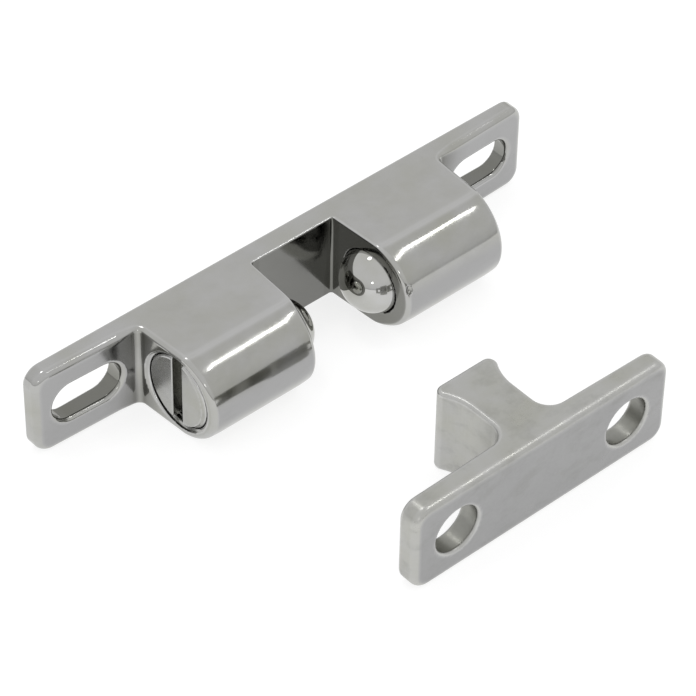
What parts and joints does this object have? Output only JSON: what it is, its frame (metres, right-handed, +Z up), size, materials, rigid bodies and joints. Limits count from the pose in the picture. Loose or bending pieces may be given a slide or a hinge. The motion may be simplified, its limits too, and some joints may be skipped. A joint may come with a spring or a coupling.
{
  "type": "double ball catch",
  "caption": "Adjustable double ball catch: slotted plate with two bored barrels, sprung balls and plug screws, and a T-shaped strike with a waisted tongue.",
  "frame": {"origin": "centre of the catch's mounting face, midway between its two screw slots", "axes": "+X along the catch and both bores, +Y out of the catch's mounting face, +Z up, across the castings"},
  "size_m": [0.07, 0.0428, 0.0112],
  "materials": {
    "polished_casting": "polished",
    "satin_casting": "satin",
    "ball_steel": "polished",
    "spring_steel": "drawn wire",
    "screw_plating": "plated"
  },
  "bodies": {
    "catch": {"catch_body": "polished_casting"},
    "left_ball": {"ball_left": "ball_steel"},
    "left_spring": {"spring_left": "spring_steel"},
    "left_screw": {"adjusting_screw_left": "screw_plating"},
    "right_ball": {"ball_right": "ball_steel"},
    "right_spring": {"spring_right": "spring_steel"},
    "right_screw": {"adjusting_screw_right": "screw_plating"},
    "strike": {"strike": "satin_casting"}
  },
  "joints": [
    {"name": "left_ball_press", "type": "slide", "parent": "catch", "child": "left_ball", "axis": [-1, 0, 0], "range_m": [0, 0.0024], "stiffness_N_per_m": 3000, "deforming": ["spring_left"]},
    {"name": "left_screw_travel", "type": "slide", "parent": "catch", "child": "left_spring", "axis": [1, 0, 0], "range_m": [0, 0.002], "deforming": ["spring_left"]},
    {"name": "left_screw_turn", "type": "hinge", "parent": "left_spring", "child": "left_screw", "pos_m": [-0.019, -0.0084, 0], "axis": [1, 0, 0], "range_deg": [0, 960]},
    {"name": "right_ball_press", "type": "slide", "parent": "catch", "child": "right_ball", "axis": [1, 0, 0], "range_m": [0, 0.0024], "stiffness_N_per_m": 3000, "deforming": ["spring_right"]},
    {"name": "right_screw_travel", "type": "slide", "parent": "catch", "child": "right_spring", "axis": [-1, 0, 0], "range_m": [0, 0.002], "deforming": ["spring_right"]},
    {"name": "right_screw_turn", "type": "hinge", "parent": "right_spring", "child": "right_screw", "pos_m": [0.019, -0.0084, 0], "axis": [-1, 0, 0], "range_deg": [0, 960]},
    {"name": "strike_approach", "type": "slide", "parent": "catch", "child": "strike", "axis": [0, 1, 0], "range_m": [0, 0.0182]}
  ],
  "couplings": [
    {"joint": "left_screw_turn", "follows": "left_screw_travel", "rad_per_m": 8377.6},
    {"joint": "right_screw_turn", "follows": "right_screw_travel", "rad_per_m": 8377.6}
  ]
}
